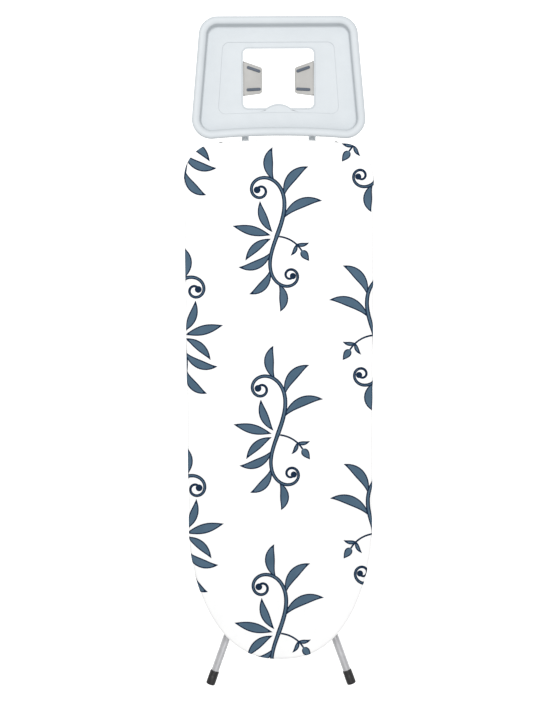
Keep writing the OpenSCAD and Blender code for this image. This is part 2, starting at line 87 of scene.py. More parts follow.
def ramp(tree, fac, low, high, start=0.35, end=0.65):
    node = add(tree, "ShaderNodeMapRange")
    node.inputs["From Min"].default_value = start
    node.inputs["From Max"].default_value = end
    node.inputs["To Min"].default_value = low
    node.inputs["To Max"].default_value = high
    tree.links.new(fac, node.inputs["Value"])
    return node.outputs["Result"]


def blend_colours(tree, fac, a, b):
    node = add(tree, "ShaderNodeMix", data_type="RGBA")
    colours = [s for s in node.inputs if s.type == "RGBA"]
    colours[0].default_value = (*a, 1)
    colours[1].default_value = (*b, 1)
    tree.links.new(fac, node.inputs[0])
    return next(s for s in node.outputs if s.type == "RGBA")


def bump(tree, shader, height, distance, strength=1.0, under=None):
    node = add(tree, "ShaderNodeBump")
    node.inputs["Strength"].default_value = strength
    node.inputs["Distance"].default_value = distance
    tree.links.new(height, node.inputs["Height"])
    if under:
        tree.links.new(under, node.inputs["Normal"])
    tree.links.new(node.outputs["Normal"], shader.inputs["Normal"])
    return node.outputs["Normal"]


def weave_height(tree, thread):
    """Height of a plain weave whose threads are this far apart, in metres."""
    where = add(tree, "ShaderNodeTexCoord")
    total = None
    for axis in ("X", "Y"):
        wave = add(tree, "ShaderNodeTexWave", bands_direction=axis)
        wave.inputs["Scale"].default_value = math.pi / 10 / thread
        wave.inputs["Distortion"].default_value = 0.6
        wave.inputs["Detail"].default_value = 1.0
        tree.links.new(where.outputs["Object"], wave.inputs["Vector"])
        if total is None:
            total = wave.outputs["Fac"]
        else:
            both = add(tree, "ShaderNodeMath", operation="MULTIPLY")
            tree.links.new(total, both.inputs[0])
            tree.links.new(wave.outputs["Fac"], both.inputs[1])
            total = both.outputs["Value"]
    return total


def cotton(name, dark, light, sheen=0.25, thread=0.8 * MM):
    """Printed cotton: a plain weave over slow shifts of tone."""
    mat, tree, shader = new_material(name)
    tone = ramp(tree, noise_at(tree, 26, 4), 0, 1)
    tree.links.new(blend_colours(tree, tone, dark, light), shader.inputs["Base Color"])
    shader.inputs["Roughness"].default_value = 0.86
    shader.inputs["Sheen Weight"].default_value = sheen
    shader.inputs["Sheen Roughness"].default_value = 0.5
    shader.inputs["Specular IOR Level"].default_value = 0.2
    soft = bump(tree, shader, noise_at(tree, 38, 2), 0.5 * MM, 0.35)
    bump(tree, shader, weave_height(tree, thread), 0.12 * MM, 0.6, soft)
    return mat


def foam(name):
    mat, tree, shader = new_material(name)
    cells = add(tree, "ShaderNodeTexVoronoi", Scale=600.0)
    where = add(tree, "ShaderNodeTexCoord")
    tree.links.new(where.outputs["Object"], cells.inputs["Vector"])
    tone = ramp(tree, cells.outputs["Distance"], 0, 1, 0.0, 0.7)
    tree.links.new(
        blend_colours(tree, tone, (0.62, 0.58, 0.48), (0.83, 0.79, 0.69)),
        shader.inputs["Base Color"],
    )
    shader.inputs["Roughness"].default_value = 0.95
    bump(tree, shader, cells.outputs["Distance"], 0.6 * MM, 0.8)
    return mat


def moulded(name, dark, light, rough=0.4, grain=0.06, scale=900, coat=0.0, gloss_shift=0.06):
    """Moulded plastic or rubber: fine grain, and a little unevenness in gloss and tone."""
    mat, tree, shader = new_material(name)
    slow = noise_at(tree, 14, 3)
    tree.links.new(blend_colours(tree, ramp(tree, slow, 0, 1), dark, light), shader.inputs["Base Color"])
    gloss = ramp(tree, noise_at(tree, 60, 4), rough - gloss_shift, rough + gloss_shift)
    tree.links.new(gloss, shader.inputs["Roughness"])
    shader.inputs["Coat Weight"].default_value = coat
    shader.inputs["Coat Roughness"].default_value = 0.25
    bump(tree, shader, noise_at(tree, scale, 2), grain * MM, 0.5)
    return mat


def painted(name, dark, light, rough=0.38, metallic=0.35):
    """Powder coat: orange peel, and small dull rubs from use."""
    mat, tree, shader = new_material(name)
    rubs = ramp(tree, noise_at(tree, 45, 6), 0, 1, 0.45, 0.75)
    tree.links.new(blend_colours(tree, rubs, dark, light), shader.inputs["Base Color"])
    tree.links.new(ramp(tree, noise_at(tree, 120, 4), rough - 0.08, rough + 0.1), shader.inputs["Roughness"])
    shader.inputs["Metallic"].default_value = metallic
    bump(tree, shader, noise_at(tree, 700, 2), 0.05 * MM, 0.5)
    return mat


def zinc(name, dark, light):
    """Zinc-plated steel: spangle and fine rolling marks."""
    mat, tree, shader = new_material(name)
    spangle = add(tree, "ShaderNodeTexVoronoi", Scale=160.0)
    where = add(tree, "ShaderNodeTexCoord")
    tree.links.new(where.outputs["Object"], spangle.inputs["Vector"])
    tone = ramp(tree, spangle.outputs["Color"], 0, 1, 0.1, 0.9)
    tree.links.new(blend_colours(tree, tone, dark, light), shader.inputs["Base Color"])
    tree.links.new(ramp(tree, noise_at(tree, 200, 4), 0.26, 0.42), shader.inputs["Roughness"])
    shader.inputs["Metallic"].default_value = 0.9
    bump(tree, shader, noise_at(tree, 500, 3, (1, 0.06, 1)), 0.04 * MM, 0.5)
    return mat


def floor_paint(name):
    mat, tree, shader = new_material(name)
    tone = ramp(tree, noise_at(tree, 0.6, 2), 0, 1)
    tree.links.new(
        blend_colours(tree, tone, (0.93, 0.93, 0.93), (0.95, 0.95, 0.95)),
        shader.inputs["Base Color"],
    )
    shader.inputs["Roughness"].default_value = 0.9
    shader.inputs["Emission Color"].default_value = (1, 1, 1, 1)
    shader.inputs["Emission Strength"].default_value = 0.5
    return mat


WHITE_COTTON = cotton("cotton_white", (0.865, 0.865, 0.865), (0.89, 0.89, 0.885))
PRINT_BLUE = cotton("cotton_slate_blue", (0.058, 0.108, 0.160), (0.072, 0.124, 0.182), 0.08)
PRINT_NAVY = cotton("cotton_navy", (0.002, 0.014, 0.040), (0.004, 0.020, 0.052), 0.02)
FOAM = foam("foam_cream")
LOOKS = {
    "cotton_cover": WHITE_COTTON,
    "foam": FOAM,
    "painted_steel": painted("paint_white_grey", (0.60, 0.61, 0.62), (0.66, 0.67, 0.68)),
    "leg_paint": painted("paint_silver_grey", (0.46, 0.46, 0.475), (0.53, 0.53, 0.545)),
    "zinc_steel": zinc("zinc_plate", (0.45, 0.46, 0.48), (0.62, 0.63, 0.65)),
    "tray_plastic": moulded(
        "plastic_ice_white", (0.535, 0.57, 0.595), (0.55, 0.585, 0.61),
        rough=0.52, grain=0.05, scale=900, coat=0.05, gloss_shift=0.02,
    ),
    "tab_rubber": moulded("silicone_warm_grey", (0.40, 0.395, 0.38), (0.44, 0.435, 0.42), 0.6, 0.12, 500),
    "strip_rubber": moulded("rubber_slate", (0.075, 0.095, 0.125), (0.095, 0.115, 0.15), 0.65, 0.15, 600),
    "black_plastic": moulded("plastic_black", (0.008, 0.007, 0.008), (0.015, 0.014, 0.015), 0.5, 0.15, 450),
    "nylon": moulded("nylon_natural", (0.72, 0.71, 0.67), (0.78, 0.77, 0.74), 0.5, 0.08, 700),
}
SLOT_OF = {row["node"]: row["material_slot"] for row in RECORD["subparts"]}
for node_name, node_object in frame["nodes"].items():
    node_object.data.materials.clear()
    node_object.data.materials.append(LOOKS[SLOT_OF[node_name]])


# --------------------------------------------------------------- mesh helpers

def mesh_object(name, verts, faces, mat, smooth=True):
    mesh = bpy.data.meshes.new(name)
    mesh.from_pydata([tuple(v) for v in verts], [], [tuple(f) for f in faces])
    mesh.validate()
    bm = bmesh.new()
    bm.from_mesh(mesh)
    bmesh.ops.recalc_face_normals(bm, faces=bm.faces)
    bm.to_mesh(mesh)
    bm.free()
    mesh.materials.append(mat)
    if smooth:
        mesh.polygons.foreach_set("use_smooth", [True] * len(mesh.polygons))
    obj = bpy.data.objects.new(name, mesh)
    bpy.context.scene.collection.objects.link(obj)
    return obj


def sharpen(obj, degrees=35):
    """Keeps edges steeper than this crisp while the rest stays smooth."""
    bm = bmesh.new()
    bm.from_mesh(obj.data)
    limit = math.radians(degrees)
    for edge in bm.edges:
        if len(edge.link_faces) == 2:
            edge.smooth = edge.calc_face_angle(0) < limit
    bm.to_mesh(obj.data)
    bm.free()


def bridge(first, second, n):
    """Faces between two closed rings of n points that start at these indices."""
    return [
        (first + k, first + (k + 1) % n, second + (k + 1) % n, second + k)
        for k in range(n)
    ]


def loft(rings, closed=False):
    """Verts and faces through closed rings of equal length, capped at both ends unless closed."""
    n = len(rings[0])
    verts = [p for ring in rings for p in ring]
    faces = []
    for k in range(len(rings) - 1):
        faces += bridge(k * n, (k + 1) * n, n)
    if closed:
        faces += bridge((len(rings) - 1) * n, 0, n)
    else:
        faces.append(tuple(range(n - 1, -1, -1)))
        faces.append(tuple(range((len(rings) - 1) * n, len(rings) * n)))
    return verts, faces


def shift_faces(faces, by):
    return [tuple(i + by for i in f) for f in faces]


def joined(parts):
    """One list of verts and faces from several."""
    verts = []
    faces = []
    for part_verts, part_faces in parts:
        faces += shift_faces(part_faces, len(verts))
        verts += list(part_verts)
    return verts, faces


def lathe(profile, origin, direction, sides=64):
    """Turned shape from (radius, distance) pairs along a direction."""
    turn = Vector((0, 0, 1)).rotation_difference(Vector(direction)).to_matrix()
    rings = []
    for radius, distance in profile:
        rings.append([
            Vector(origin) + turn @ Vector((
                radius * math.cos(2 * math.pi * k / sides),
                radius * math.sin(2 * math.pi * k / sides),
                distance,
            ))
            for k in range(sides)
        ])
    return rings


def sweep(points, radius, sides=32):
    """Rings of a round tube along points."""
    rings = []
    up = Vector((0, 0, 1))
    for k, point in enumerate(points):
        ahead = points[min(k + 1, len(points) - 1)]
        behind = points[max(k - 1, 0)]
        along = (ahead - behind).normalized()
        if abs(along.dot(up)) > 0.99:
            up = Vector((0, 1, 0))
        side_way = along.cross(up).normalized()
        up = side_way.cross(along).normalized()
        turns = [2 * math.pi * j / sides for j in range(sides)]
        rings.append([point + radius * (math.cos(a) * side_way + math.sin(a) * up) for a in turns])
    return rings


def arc_points(centre, start, axis, angle, steps):
    """Points turned about a centre from a start point."""
    out = []
    for k in range(steps + 1):
        turn = Matrix.Rotation(angle * k / steps, 3, axis)
        out.append(centre + turn @ (start - centre))
    return out


def middle(node):
    low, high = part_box(node)
    return (low + high) / 2


# ------------------------------------------------------------ the board's edge

COVER_LOW, COVER_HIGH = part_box("cover")
NOSE_Y, TAIL_Y = COVER_LOW.y, COVER_HIGH.y
TAIL_HALF = COVER_HIGH.x
TOP_Z, HEM_Z = COVER_HIGH.z, COVER_LOW.z
NOSE_HALF = TAIL_HALF - 8 * MM
NOSE_LENGTH = 308 * MM
NOSE_BASE = NOSE_Y + NOSE_LENGTH
NOSE_ALONG = 1.8
NOSE_ACROSS = 2.4
TAIL_RADIUS = 83 * MM
TAIL_BOW = 7 * MM
NOSE_STEPS = 64
SIDE_STEPS = 70
CORNER_STEPS = 18
TAIL_STEPS = 14
OUTLINE_POINTS = 400
CREASE_POINTS = 420
RIM_POINTS = 300


def board_ring(inset):
    """Closed outline of the board, this far in from the cover's edge."""
    half = []
    for k in range(NOSE_STEPS + 1):
        q = math.pi / 2 * k / NOSE_STEPS
        half.append((
            (NOSE_HALF - inset) * math.sin(q) ** (2 / NOSE_ACROSS),
            NOSE_BASE - (NOSE_LENGTH - inset) * math.cos(q) ** (2 / NOSE_ALONG),
        ))
    corner_y = TAIL_Y - TAIL_BOW - TAIL_RADIUS
    for k in range(1, SIDE_STEPS):
        t = k / SIDE_STEPS
        half.append((NOSE_HALF - inset + (TAIL_HALF - NOSE_HALF) * t, NOSE_BASE + (corner_y - NOSE_BASE) * t))
    for k in range(CORNER_STEPS + 1):
        q = math.pi / 2 * k / CORNER_STEPS
        half.append((
            TAIL_HALF - TAIL_RADIUS + (TAIL_RADIUS - inset) * math.cos(q),
            corner_y + (TAIL_RADIUS - inset) * math.sin(q),
        ))
    for k in range(1, TAIL_STEPS + 1):
        t = 1 - k / TAIL_STEPS
        half.append((t * (TAIL_HALF - TAIL_RADIUS), TAIL_Y - inset - TAIL_BOW * t * t))
    return np.array(half + [(-x, y) for x, y in reversed(half[1:-1])])


def even_ring(ring, count):
    """The same closed line with evenly spaced points."""
    closed = np.vstack([ring, ring[:1]])
    run = np.concatenate([[0], np.cumsum(np.hypot(*np.diff(closed, axis=0).T))])
    at = np.linspace(0, run[-1], count, endpoint=False)
    return np.column_stack([np.interp(at, run, closed[:, 0]), np.interp(at, run, closed[:, 1])])


# The cover leaves the flat top at the crease, rolls over the edge and tucks under the rim.
ROLL = 7 * MM
TUCK = 3 * MM
HEM = 22 * MM
COVER_SINK = 0.4 * MM
LIFT_GROWTH = 1.5
CREASE = even_ring(board_ring(ROLL), CREASE_POINTS)
CREASE_LENGTH = float(np.hypot(*(np.roll(CREASE, -1, axis=0) - CREASE).T).sum())
DROP = TOP_Z - ROLL - HEM_Z - TUCK
WRAP = ROLL * math.pi / 2 + DROP + TUCK * math.pi / 2 + HEM


def fabric_profile(s):
    """(out from the crease, height, angle of the surface) this far along the cloth past the crease."""
    if s <= ROLL * math.pi / 2:
        a = max(s, 0) / ROLL
        return ROLL * math.sin(a), TOP_Z - ROLL * (1 - math.cos(a)), a
    s -= ROLL * math.pi / 2
    if s <= DROP:
        return ROLL, TOP_Z - ROLL - s, math.pi / 2
    s -= DROP
    if s <= TUCK * math.pi / 2:
        a = s / TUCK
        return ROLL - TUCK * (1 - math.cos(a)), HEM_Z + TUCK * (1 - math.sin(a)), math.pi / 2 + a
    s -= TUCK * math.pi / 2
    return ROLL - TUCK - s, HEM_Z, math.pi


def nearest_on_crease(points):
    """Nearest crease point, and how far along the crease it lies, for each point."""
    a = CREASE
    b = np.roll(CREASE, -1, axis=0)
    d = b - a
    length = np.hypot(*d.T)
    run = np.concatenate([[0], np.cumsum(length)[:-1]])
    foot = np.zeros_like(points)
    along = np.zeros(len(points))
    for k, p in enumerate(points):
        t = np.clip(((p - a) * d).sum(1) / length ** 2, 0, 1)
        near = a + d * t[:, None]
        gap = np.hypot(*(near - p).T)
        j = int(gap.argmin())
        foot[k] = near[j]
        along[k] = run[j] + t[j] * length[j]
    return foot, along


def crease_normals():
    d = np.roll(CREASE, -1, axis=0) - np.roll(CREASE, 1, axis=0)
    n = np.column_stack([d[:, 1], -d[:, 0]])
    return n / np.hypot(*n.T)[:, None]


CREASE_OUT = crease_normals()


def swell(x, y):
    """Slow rise and fall of the padded top."""
    wave = noise.noise(Vector((x * 9, y * 7, 0.3))) + 0.5 * noise.noise(Vector((x * 24, y * 21, 4.1)))
    return 0.3 * MM * wave


def pucker(s, run):
    """Gathers that grow from the side towards the hem."""
    start = ROLL * math.pi / 2 + 0.45 * DROP
    if s <= start:
        return 0.0
    grow = min(1.0, (s - start) / (WRAP - start)) ** 1.3
    turn = 2 * math.pi * run / CREASE_LENGTH
    ring = Vector((math.cos(turn), math.sin(turn), 0))
    folds = noise.noise(ring * 38) + 0.6 * noise.noise(ring * 71 + Vector((0, 0, 3)))
    return 2.6 * MM * grow * folds


def drape(flat_points, inside, lift=0.0):
    """Lays points of the flat cloth over the board; inside tells which lie on the flat top.

    A lift grows past the crease, where the cloth bends and puckers."""
    out = np.zeros((len(flat_points), 3))
    outer = np.where(~inside)[0]
    foot, run = nearest_on_crease(flat_points[outer]) if len(outer) else (None, None)
    for k in np.where(inside)[0]:
        x, y = flat_points[k]
        out[k] = (x, y, TOP_Z - COVER_SINK + swell(x, y) + lift)
    for j, k in enumerate(outer):
        away = flat_points[k] - foot[j]
        s = float(np.hypot(*away))
        normal = away / s if s > 1e-7 else np.array([0.0, 1.0])
        reach, z, angle = fabric_profile(s)
        off = pucker(s, run[j]) + lift * (1 + LIFT_GROWTH * min(1.0, s / ROLL))
        fade = max(0.0, 1 - s / (ROLL * math.pi / 2))
        xy = foot[j] + normal * (reach + off * math.sin(angle))
        z += off * math.cos(angle) + fade * (swell(*foot[j]) - COVER_SINK)
        out[k] = (xy[0], xy[1], z)
    return out


def inside_crease(points):
    """Which points lie within the crease line."""
    hit = np.zeros(len(points), bool)
    x, y = points[:, 0], points[:, 1]
    a = CREASE
    b = np.roll(CREASE, -1, axis=0)
    for (x0, y0), (x1, y1) in zip(a, b):
        if y0 == y1:
            continue
        crosses = (y0 > y) != (y1 > y)
        hit ^= crosses & (x < (x1 - x0) * (y - y0) / (y1 - y0) + x0)
    return hit


# ------------------------------------------------------------------- the cover

WRAP_STEPS = [0.16, 0.33, 0.5, 0.66, 0.83, 1.0]


def wrap_distances():
    """How far past the crease each ring of the cover lies."""
    roll_end = ROLL * math.pi / 2
    side_end = roll_end + DROP
    tuck_end = side_end + TUCK * math.pi / 2
    out = [roll_end * t for t in WRAP_STEPS]
    out += [roll_end + DROP * t for t in (0.2, 0.4, 0.6, 0.8, 1.0)]
    out += [side_end + (tuck_end - side_end) * t for t in (0.25, 0.5, 0.75, 1.0)]
    out += [tuck_end + HEM * t for t in (0.15, 0.3, 0.45, 0.6, 0.75, 0.9, 1.0)]
    return out


def flat_ring(distance):
    return CREASE + CREASE_OUT * distance


def top_grid(spacing):
    """Points spread over the flat top, clear of the crease."""
    margin = even_ring(board_ring(ROLL + 0.6 * spacing), OUTLINE_POINTS)
    low, high = margin.min(0), margin.max(0)
    rows = int((high[1] - low[1]) / spacing)
    points = []
    for r in range(rows + 1):
        y = low[1] + r * spacing
        shift = 0.5 * spacing * (r % 2)
        count = int((high[0] - low[0]) / spacing)
        for c in range(count + 1):
            points.append((low[0] + c * spacing + shift, y))
    points = np.array(points)
    right = margin[:OUTLINE_POINTS // 2]
    half = np.interp(points[:, 1], right[:, 1], right[:, 0], left=0, right=0)
    return points[np.abs(points[:, 0]) < half]


def make_cover():
    n = len(CREASE)
    grid = top_grid(11 * MM)
    flat = np.vstack([CREASE, grid])
    edges = [(k, (k + 1) % n) for k in range(n)]
    verts, _, tris, sources, _, _ = delaunay_2d_cdt([Vector(p) for p in flat], edges, [], 1, 1e-6)
    top = np.array([tuple(v) for v in verts])
    points = list(drape(top, np.ones(len(top), bool)))
    at = {source: k for k, found in enumerate(sources) for source in found}
    faces = [tuple(t) for t in tris]
    last = [at[k] for k in range(n)]
    for distance in wrap_distances():
        ring = drape(flat_ring(distance), np.zeros(n, bool))
        start = len(points)
        points += list(ring)
        fresh = list(range(start, start + n))
        faces += [(last[k], last[(k + 1) % n], fresh[(k + 1) % n], fresh[k]) for k in range(n)]
        last = fresh
    cover = mesh_object("cover_cloth", points, faces, WHITE_COTTON)
    thick = cover.modifiers.new("cloth", "SOLIDIFY")
    thick.thickness = 0.5 * MM
    thick.offset = -1
    return cover


# -------------------------------------------------- ornament printed on the cover

STROKE_STEP = 6 * MM
REPEAT_X = 232 * MM
REPEAT_Y = 470 * MM
FIRST_X = -122 * MM
FIRST_Y = 40 * MM
PRINT_HALF_LENGTH = 0.8
SCROLL_TURN = 560
SCROLL_WIND = 2.0
SCROLL_SHRINK = 0.62
SCROLL_TILT = 20
STEM_LEAVES = (0.10, 0.24, 0.38)
STEM_LEAF_LEAN = 16
STEM_LEAF_TURN = 70
LONG_SCROLL = 430 * MM
LONG_SCROLL_W = 11 * MM
SHORT_SCROLL = 360 * MM
SHORT_SCROLL_W = 10 * MM
PALMETTE_REACH = 92 * MM
PALMETTE_LEAF_W = 23 * MM
PALMETTE_TILT = 76
PALMETTE_SPREAD = 34
PALMETTE_TURN = 44
SPRIG_LENGTH = 62 * MM
SPRIG_W = 12 * MM
SPRIG_TILT = 100
SPRIG_SHIFT = 8 * MM
SPRIG_TURN = 50


def curl(start, heading, length, turn, width_at, wind=1.0, shrink=0.0):
    """Line from start that turns through an angle, faster and faster where wind is above 1."""
    steps = max(8, int(length / STROKE_STEP))
    place = np.array(start[:2], float)
    points = []
    for k in range(steps + 1):
        t = k / steps
        points.append((place[0], place[1], width_at(t)))
        a = math.radians(heading + turn * t ** wind)
        place = place + np.array([math.cos(a), math.sin(a)]) * length / steps * (1 - shrink * t)
    return np.array(points)


def leaf(start, heading, length, turn, width, full=0.8):
    """Comma leaf, thin at both ends; full below 1 moves its widest place towards the foot."""
    return curl(start, heading, length, turn, lambda t: width * math.sin(math.pi * t ** full) + 0.6 * MM)


def heading_at(line, k):
    """Direction of a line at its point k, in degrees."""
    step = line[min(k + 1, len(line) - 1)] - line[max(k - 1, 0)]
    return math.degrees(math.atan2(step[1], step[0]))


def scroll(start, heading, length, hand, wide):
    """Stem that winds up into a scroll with a round end, and leaves off its outer side."""
    stem = curl(
        start, heading, length, hand * SCROLL_TURN, lambda t: wide * (1 - 0.5 * t), SCROLL_WIND, SCROLL_SHRINK
    )
    stem[-1, 2] = 1.5 * wide
    lines = [stem]
    for n, t in enumerate(STEM_LEAVES):
        k = int(t * (len(stem) - 1))
        reach = length * (0.26 - 0.03 * n)
        away = heading_at(stem, k) - hand * STEM_LEAF_LEAN
        lines.append(leaf(stem[k], away, reach, -hand * STEM_LEAF_TURN, 2.1 * wide, 1.15))
    return lines


def palmette(start, heading, reach, wide):
    """Three leaves spread like a hand, the outer ones curling away from the middle one."""
    lines = []
    for n in range(-1, 2):
        away = heading + PALMETTE_SPREAD * n
        a = math.radians(away)
        foot = np.array(start[:2]) + np.array([math.cos(a), math.sin(a)]) * 0.16 * reach
        size = 1 - 0.12 * abs(n)
        lines.append(leaf(foot, away, reach * size, PALMETTE_TURN * n, wide * size, 1.0))
    return lines


def sprig(start, heading, length, hand, wide):
    """Thin stem with a drop-shaped bud and two small leaves under it."""
    stem = curl(start, heading, length, hand * SPRIG_TURN, lambda t: 0.35 * wide)
    tip = heading_at(stem, len(stem) - 1)
    lines = [stem, leaf(stem[-1], tip, 0.5 * length, 0, 1.5 * wide, 0.7)]
    for turn in (-1, 1):
        foot = stem[len(stem) * 2 // 3]
        lines.append(leaf(foot, tip + turn * 40, 0.5 * length, turn * SPRIG_TURN, 0.8 * wide))
    return lines


def ornament():
    """Plain scroll-and-leaf pattern in a half-drop repeat, every second column mirrored."""
    lines = []
    for column in range(-1, 4):
        for row in range(-3, 4):
            hand = 1 if column % 2 else -1
            x = FIRST_X + (column - 0.5) * REPEAT_X
            y = FIRST_Y + (row + 0.5 * (column % 2)) * REPEAT_Y
            lines += scroll((x, y), 90 - hand * SCROLL_TILT, LONG_SCROLL, hand, LONG_SCROLL_W)
            lines += scroll((x, y), 270 - hand * SCROLL_TILT, SHORT_SCROLL, hand, SHORT_SCROLL_W)
            lines += palmette((x, y), 90 + hand * PALMETTE_TILT, PALMETTE_REACH, PALMETTE_LEAF_W)
            start = (x + hand * SPRIG_SHIFT, y)
            lines += sprig(start, 90 - hand * SPRIG_TILT, SPRIG_LENGTH, -hand, SPRIG_W)
    limits = (TAIL_HALF + WRAP, PRINT_HALF_LENGTH)
    return [line for line in lines if (np.abs(line[:, :2]) < limits).any(axis=0).all()]


LINE_WIDTH = 3.0 * MM
NEEDLE = 8.5 * MM
HAIR_HALF = 0.12 * MM
BLUNT = 2 * MM
DISC_POINTS = 16
PRINT_LIFT = 0.22 * MM
CUT_MERGE = 2e-6
ON_CREASE = 1e-6


def stroke_quads(line):
    """Quads along a line, with a disc at each blunt end."""
    centre = line[:, :2]
    d = np.gradient(centre, axis=0)
    d /= np.maximum(np.hypot(*d.T), 1e-9)[:, None]
    side = np.column_stack([-d[:, 1], d[:, 0]])
    half = np.maximum(line[:, 2] / 2, HAIR_HALF)
    left = centre + side * half[:, None]
    right = centre - side * half[:, None]
    quads = [np.array([left[k], right[k], right[k + 1], left[k + 1]]) for k in range(len(line) - 1)]
    for end in (0, -1):
        if line[end, 2] > BLUNT:
            turn = np.linspace(0, 2 * math.pi, DISC_POINTS + 1)[:-1]
            quads.append(centre[end] + half[end] * np.column_stack([np.cos(turn), np.sin(turn)]))
    return quads


def covered(points, quads):
    """Which points lie in any of these quads."""
    hit = np.zeros(len(points), bool)
    for quad in quads:
        low, high = quad.min(0), quad.max(0)
        near = np.where(((points >= low) & (points <= high)).all(1) & ~hit)[0]
        if not len(near):
            continue
        for k in range(2, len(quad)):
            a, b, c = quad[0], quad[k - 1], quad[k]
            p = points[near]
            turns = [
                (v[0] - u[0]) * (p[:, 1] - u[1]) - (v[1] - u[1]) * (p[:, 0] - u[0])
                for u, v in ((a, b), (b, c), (c, a))
            ]
            same = ((turns[0] > 0) & (turns[1] > 0) & (turns[2] > 0))
            same |= ((turns[0] < 0) & (turns[1] < 0) & (turns[2] < 0))
            hit[near[same]] = True
    return hit


def make_print():
    """The blue fills and their navy outlines, cut from the flat cloth and laid over the board."""
    strokes = {"line": [], "fill": []}
    for line in ornament():
        strokes["line"] += stroke_quads(line)
        if line[:, 2].max() > NEEDLE:
            core = line.copy()
            core[:, 2] -= 2 * LINE_WIDTH
            wide = core[:, 2] > 0.5 * MM
            for run in np.split(np.arange(len(core)), np.where(np.diff(wide))[0] + 1):
                if wide[run[0]] and len(run) > 1:
                    strokes["fill"] += stroke_quads(core[run])
    flat = []
    edges = []

    def add_loop(loop):
        start = len(flat)
        flat.extend(Vector(p) for p in loop)
        edges.extend((start + k, start + (k + 1) % len(loop)) for k in range(len(loop)))

    for quad in strokes["line"] + strokes["fill"]:
        add_loop(quad)
    cuts = [0.0] + [d for d in wrap_distances() if d < WRAP - 0.5 * HEM]
    for distance in cuts:
        add_loop(flat_ring(distance))
    verts, _, tris, _, _, _ = delaunay_2d_cdt(flat, edges, [], 0, CUT_MERGE)
    points = np.array([tuple(v) for v in verts])
    inside = inside_crease(points)
    foot, _ = nearest_on_crease(points)
    past = np.where(inside, 0, np.hypot(*(points - foot).T))
    inside |= past < ON_CREASE
    corners = np.array([tuple(t) for t in tris])
    corners = corners[past[corners].max(1) <= cuts[-1] + ON_CREASE]
    centres = points[corners].mean(1)
    blue = covered(centres, strokes["fill"])
    navy = covered(centres, strokes["line"]) & ~blue
    laid = drape(points, inside, PRINT_LIFT)
    made = []
    for kind, chosen, mat in (("fill", blue, PRINT_BLUE), ("line", navy, PRINT_NAVY)):
        used, faces = np.unique(corners[chosen], return_inverse=True)
        made.append(mesh_object("cover_print_" + kind, laid[used], faces.reshape(-1, 3).tolist(), mat))
    return made


cover = make_cover()
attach(cover, "board")
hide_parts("cover")
prints = make_print()
for piece in prints:
    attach(piece, "board")


# ---------------------------------------------------------------- pad and frame

PAD_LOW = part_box("foam_pad")[0]


def make_pad():
    """Foam pad with soft rounded edges, a little crowned."""
    profile = [(6, 0.0), (4.8, 0.1), (4.2, 1.6), (4.3, 3.4), (5.2, 4.9), (7.0, 5.7), (12, 5.8)]
    rings = []
    for inset, z in profile:
        ring = even_ring(board_ring(inset * MM), RIM_POINTS)
        rings.append([(x, y, PAD_LOW.z + z * MM) for x, y in ring])
    verts, faces = loft(rings)
    pad = mesh_object("foam_pad_soft", verts, faces, FOAM)
    sharpen(pad, 50)
    return pad


pad = make_pad()
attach(pad, "board")
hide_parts("foam_pad")

MESH_LOW, MESH_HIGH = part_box("mesh_top")
CELL_W = 34 * MM
CELL_L = 15 * MM
STRAND = 2.6 * MM
STRAND_SLANT = 1.1
BORDER = 20 * MM
BORDER_EDGE = 6.2 * MM
BORDER_PROUD = 0.05 * MM
CELL_CLEAR = 16 * MM


def make_mesh_top():
    """Expanded steel: rows of diamonds inside a plain border."""
    z0 = MESH_LOW.z + 0.1 * MM
    z1 = MESH_HIGH.z - 0.1 * MM
    rows = int((TAIL_Y - NOSE_Y) / CELL_L)
    columns = int(TAIL_HALF / CELL_W) + 2
    limit = even_ring(board_ring(CELL_CLEAR), OUTLINE_POINTS)[:OUTLINE_POINTS // 2]
    verts = []
    faces = []
    hole = [(-0.5, 0), (0, -0.5), (0.5, 0), (0, 0.5)]
    for r in range(rows + 1):
        for c in range(-columns, columns + 1):
            cx = (c + 0.5 * (r % 2)) * CELL_W
            cy = NOSE_Y + (r + 0.5) * CELL_L
            half = np.interp(cy, limit[:, 1], limit[:, 0], left=0, right=0)
            if abs(cx) > half or cy > TAIL_Y - CELL_CLEAR or cy < NOSE_Y + CELL_CLEAR:
                continue
            outer = [(cx + u * CELL_W, cy + v * 2 * CELL_L) for u, v in hole]
            shrink_x = 1 - 2 * STRAND / CELL_W * STRAND_SLANT
            shrink_y = 1 - STRAND / CELL_L * STRAND_SLANT
            inner = [(cx + u * CELL_W * shrink_x, cy + v * 2 * CELL_L * shrink_y) for u, v in hole]
            start = len(verts)
            for ring, z in ((outer, z0), (inner, z0), (inner, z1), (outer, z1)):
                verts += [(x, y, z) for x, y in ring]
            for k in range(4):
                j = (k + 1) % 4
                faces.append((start + k, start + j, start + 4 + j, start + 4 + k))
                faces.append((start + 4 + k, start + 4 + j, start + 8 + j, start + 8 + k))
                faces.append((start + 8 + k, start + 8 + j, start + 12 + j, start + 12 + k))
    rings = []
    below = z0 - BORDER_PROUD
    above = z1 + BORDER_PROUD
    for inset, z in ((BORDER_EDGE, below), (BORDER, below), (BORDER, above), (BORDER_EDGE, above)):
        rings.append([(x, y, z) for x, y in even_ring(board_ring(inset), RIM_POINTS)])
    verts, faces = joined([(verts, faces), loft(rings, closed=True)])
    return mesh_object("mesh_top_expanded", verts, faces, LOOKS["painted_steel"], smooth=False)


mesh_top = make_mesh_top()
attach(mesh_top, "board")
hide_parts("mesh_top")


# ------------------------------------------------------------------- iron rest

